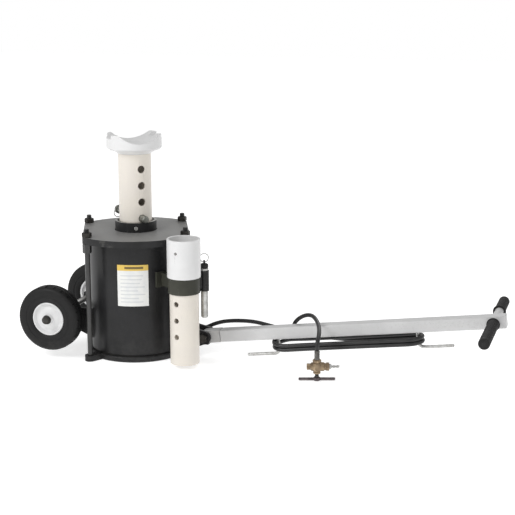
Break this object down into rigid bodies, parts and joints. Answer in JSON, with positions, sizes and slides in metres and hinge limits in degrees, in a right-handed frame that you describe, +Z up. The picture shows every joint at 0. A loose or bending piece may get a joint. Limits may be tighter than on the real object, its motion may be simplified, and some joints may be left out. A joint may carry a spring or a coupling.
{
  "type": "pneumatic bottle jack",
  "caption": "Upright tie-rod air lift jack with pinned telescopic post and cradle saddle, stored extension tube, transport wheels, tow handle and hose with hand air valve.",
  "frame": {"origin": "centre of the round base plate, on the floor", "axes": "+X from the cylinder axis along the tow handle, +Y towards the far wheel, +Z up along the ram"},
  "size_m": [1.478, 0.484, 0.689],
  "materials": {
    "black_enamel": "gloss",
    "white_enamel": "semi-gloss",
    "olive_enamel": "satin",
    "plated_steel": "zinc plated",
    "dark_steel": "oiled",
    "chromed_ram": "ground and plated",
    "piston_iron": "machined",
    "valve_brass": "cast and worn",
    "bush_bronze": "machined",
    "seal_rubber": "matte",
    "tyre_rubber": "matte",
    "grip_rubber": "matte",
    "hose_rubber": "satin"
  },
  "bodies": {
    "cylinder": {"base_plate": "black_enamel", "cylinder_shell": "black_enamel", "base_gasket": "seal_rubber", "top_gasket": "seal_rubber", "top_plate": "black_enamel", "tie_rod_1": "black_enamel", "tie_rod_2": "black_enamel", "tie_rod_3": "black_enamel", "tie_rod_4": "black_enamel", "rod_nut_1": "dark_steel", "rod_nut_2": "dark_steel", "rod_nut_3": "dark_steel", "rod_nut_4": "dark_steel", "guide_bush": "bush_bronze", "wiper_ring": "seal_rubber", "extension_band": "olive_enamel", "pin_holder": "black_enamel", "axle": "plated_steel", "axle_bracket_near": "black_enamel", "axle_bracket_far": "black_enamel", "axle_cap_near": "dark_steel", "axle_cap_far": "dark_steel", "handle_bracket": "black_enamel", "pivot_bolt": "plated_steel", "pivot_nut": "plated_steel", "inlet_fitting": "valve_brass"},
    "ram": {"piston": "piston_iron", "piston_cup": "seal_rubber", "ram_tube": "chromed_ram", "ram_collar": "black_enamel", "collar_screw": "plated_steel"},
    "post": {"post_tube": "white_enamel"},
    "saddle": {"saddle": "white_enamel"},
    "lock_pin": {"lock_pin": "plated_steel"},
    "lock_ring": {"lock_pin_ring": "plated_steel"},
    "extension": {"extension_tube": "white_enamel", "extension_sleeve": "white_enamel"},
    "spare": {"spare_pin": "plated_steel", "spare_knob": "seal_rubber"},
    "spare_ring": {"spare_ring": "plated_steel"},
    "wheel_near": {"tyre_near": "tyre_rubber", "hub_near": "white_enamel"},
    "wheel_far": {"tyre_far": "tyre_rubber", "hub_far": "white_enamel"},
    "handle": {"handle_stub": "white_enamel", "handle_bar": "white_enamel", "tee_bar": "white_enamel", "grip_near": "grip_rubber", "grip_far": "grip_rubber", "hose_hook_inner": "plated_steel", "hose_hook_outer": "plated_steel", "hose_lead": "hose_rubber", "hose_coil": "hose_rubber", "hose_tail": "hose_rubber", "hose_ferrule": "plated_steel", "valve_body": "valve_brass", "valve_plug": "plated_steel"},
    "valve_lever": {"valve_stem": "dark_steel", "valve_lever": "dark_steel"}
  },
  "joints": [
    {"name": "ram_lift", "type": "slide", "parent": "cylinder", "child": "ram", "axis": [0, 0, 1], "range_m": [0, 0.21]},
    {"name": "post_lift", "type": "slide", "parent": "ram", "child": "post", "axis": [0, 0, 1], "range_m": [0, 0.2]},
    {"name": "saddle_swivel", "type": "hinge", "parent": "post", "child": "saddle", "pos_m": [0, 0, 0.6278], "axis": [0, 0, 1], "continuous": true},
    {"name": "lock_pin_slide", "type": "slide", "parent": "post", "child": "lock_pin", "axis": [-0.7314, 0.682, 0], "range_m": [0, 0.2]},
    {"name": "lock_ring_swing", "type": "hinge", "parent": "lock_pin", "child": "lock_ring", "pos_m": [-0.10495, 0.09787, 0.4296], "axis": [0.682, 0.7314, 0], "range_deg": [0, 80]},
    {"name": "wheel_near_spin", "type": "hinge", "parent": "cylinder", "child": "wheel_near", "pos_m": [-0.2195, 0, 0.1268], "axis": [0, 1, 0], "continuous": true},
    {"name": "wheel_far_spin", "type": "hinge", "parent": "cylinder", "child": "wheel_far", "pos_m": [-0.2195, 0, 0.1268], "axis": [0, 1, 0], "continuous": true},
    {"name": "handle_pivot", "type": "hinge", "parent": "cylinder", "child": "handle", "pos_m": [0.232, 0, 0.0615], "axis": [0, -1, 0], "range_deg": [0, 65], "deforming": ["hose_lead"]},
    {"name": "valve_turn", "type": "hinge", "parent": "handle", "child": "valve_lever", "pos_m": [0.628, -0.146, 0.02], "axis": [0, 0, 1], "range_deg": [0, 90]},
    {"name": "spare_slide", "type": "slide", "parent": "cylinder", "child": "spare", "axis": [0, 0, 1], "range_m": [0, 0.17]},
    {"name": "spare_ring_swing", "type": "hinge", "parent": "spare", "child": "spare_ring", "pos_m": [0.258, -0.087, 0.3188], "axis": [-0.9171, -0.3987, 0], "range_deg": [0, 75]},
    {"name": "extension_slide", "type": "slide", "parent": "cylinder", "child": "extension", "axis": [0, 0, 1], "range_m": [0, 0.28]}
  ]
}
